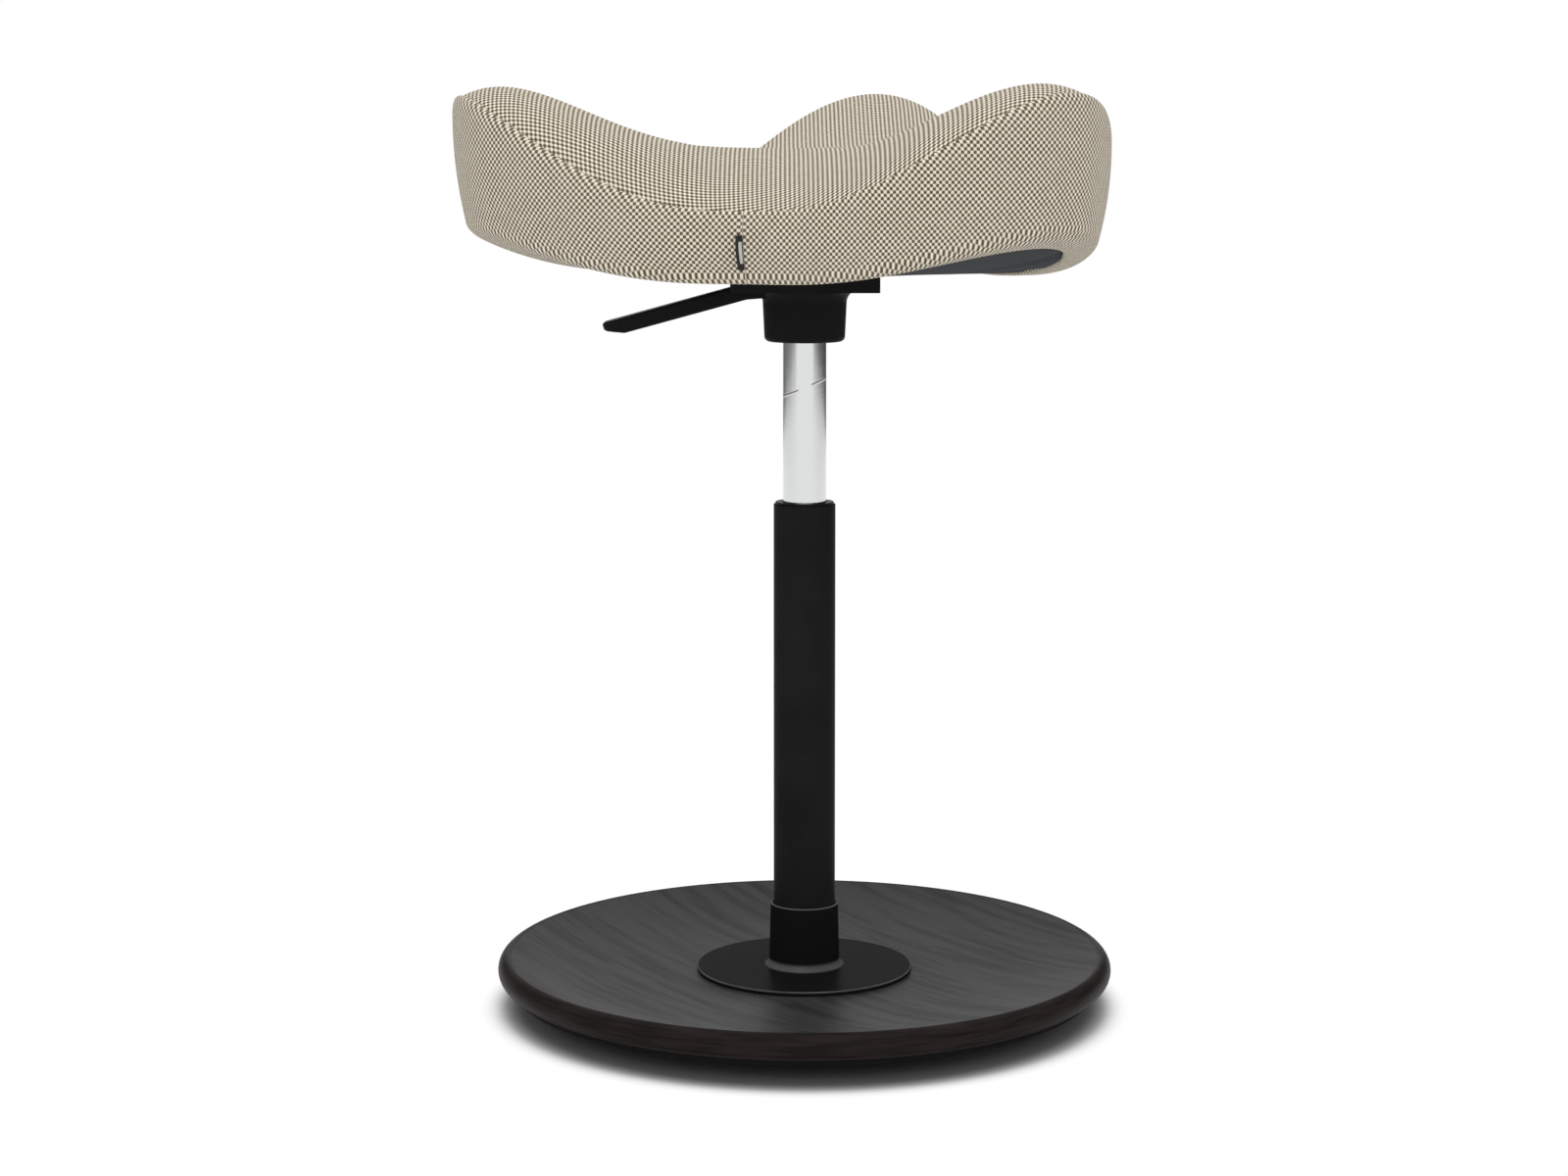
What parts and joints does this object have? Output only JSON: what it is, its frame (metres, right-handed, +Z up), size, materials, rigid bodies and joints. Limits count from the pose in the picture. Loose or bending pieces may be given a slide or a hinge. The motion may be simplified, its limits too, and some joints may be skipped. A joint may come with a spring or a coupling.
{
  "type": "wobble stool",
  "caption": "Height-adjustable wobble stool: a saddle-shaped three-lobed padded seat on a gas-lift column, standing on a round dished wooden base that rocks on a curved rubber sole.",
  "frame": {"origin": "middle of the sole's flat centre, on the floor, on the column's axis", "axes": "+Z up along the column; -Y towards the dip of the seat that carries the fabric tag, +Y towards the lobe opposite"},
  "size_m": [0.4206, 0.4289, 0.596],
  "materials": {
    "stained_wood": "open-grain oak veneer stained charcoal, satin",
    "sole_rubber": "matte black rubber",
    "black_metal": "near-black satin powder coat",
    "steel": "bright zinc-plated steel",
    "chrome": "polished chrome",
    "black_plastic": "black moulded nylon",
    "seal_rubber": "black nitrile rubber",
    "shell_wood": "moulded beech plywood",
    "foam": "moulded cushion foam",
    "seat_fabric": "beige and cream basket weave",
    "lining_cloth": "dark grey non-woven lining",
    "tag_cloth": "black woven tape with a pale plain panel"
  },
  "bodies": {
    "base": {"base_disc": "stained_wood", "base_sole": "sole_rubber", "socket_flange": "black_metal", "flange_studs": "steel", "flange_washers": "steel", "flange_nuts": "steel", "outer_tube": "black_metal", "tube_end_plate": "steel", "guide_bush": "black_plastic", "bearing_lower_race": "steel"},
    "bearing_cage": {"bearing_cage": "black_plastic", "bearing_balls": "steel"},
    "rod": {"piston_rod": "steel", "retaining_clip": "steel", "bearing_upper_race": "steel", "bump_stop": "seal_rubber", "piston": "steel", "piston_seal": "seal_rubber", "piston_nut": "steel"},
    "seat": {"gas_cylinder": "chrome", "cylinder_end_guide": "black_plastic", "rod_seal": "seal_rubber", "valve_body": "steel", "valve_seal": "seal_rubber", "taper_socket": "steel", "seat_bracket": "black_metal", "lever_pivot_pin": "steel", "seat_screws": "steel", "tee_nuts": "steel", "seat_shell": "shell_wood", "seat_foam": "foam", "seat_cover_top": "seat_fabric", "seat_cover_side": "seat_fabric", "underside_lining": "lining_cloth", "fabric_tag": "tag_cloth"},
    "lever": {"height_lever": "black_plastic"},
    "release_pin": {"release_pin": "steel"}
  },
  "joints": [
    {"name": "seat_swivel", "type": "hinge", "parent": "base", "child": "rod", "pos_m": [0, 0, 0.03505], "axis": [0, 0, 1], "continuous": true},
    {"name": "cage_spin", "type": "hinge", "parent": "base", "child": "bearing_cage", "pos_m": [0, 0, 0.03505], "axis": [0, 0, 1], "continuous": true},
    {"name": "height_slide", "type": "slide", "parent": "rod", "child": "seat", "axis": [0, 0, 1], "range_m": [-0.095, 0.095]},
    {"name": "lever_pivot", "type": "hinge", "parent": "seat", "child": "lever", "pos_m": [-0.02281, -0.00607, 0.4688], "axis": [-0.2571, 0.9664, 0], "range_deg": [0, 6], "stiffness_Nm_per_rad": 1.5, "springref_deg": -5.73},
    {"name": "pin_slide", "type": "slide", "parent": "seat", "child": "release_pin", "axis": [0, 0, 1], "range_m": [-0.0026, 0]}
  ],
  "couplings": [
    {"joint": "cage_spin", "follows": "seat_swivel", "ratio": 0.5},
    {"joint": "pin_slide", "follows": "lever_pivot", "m_per_rad": -0.0236}
  ]
}
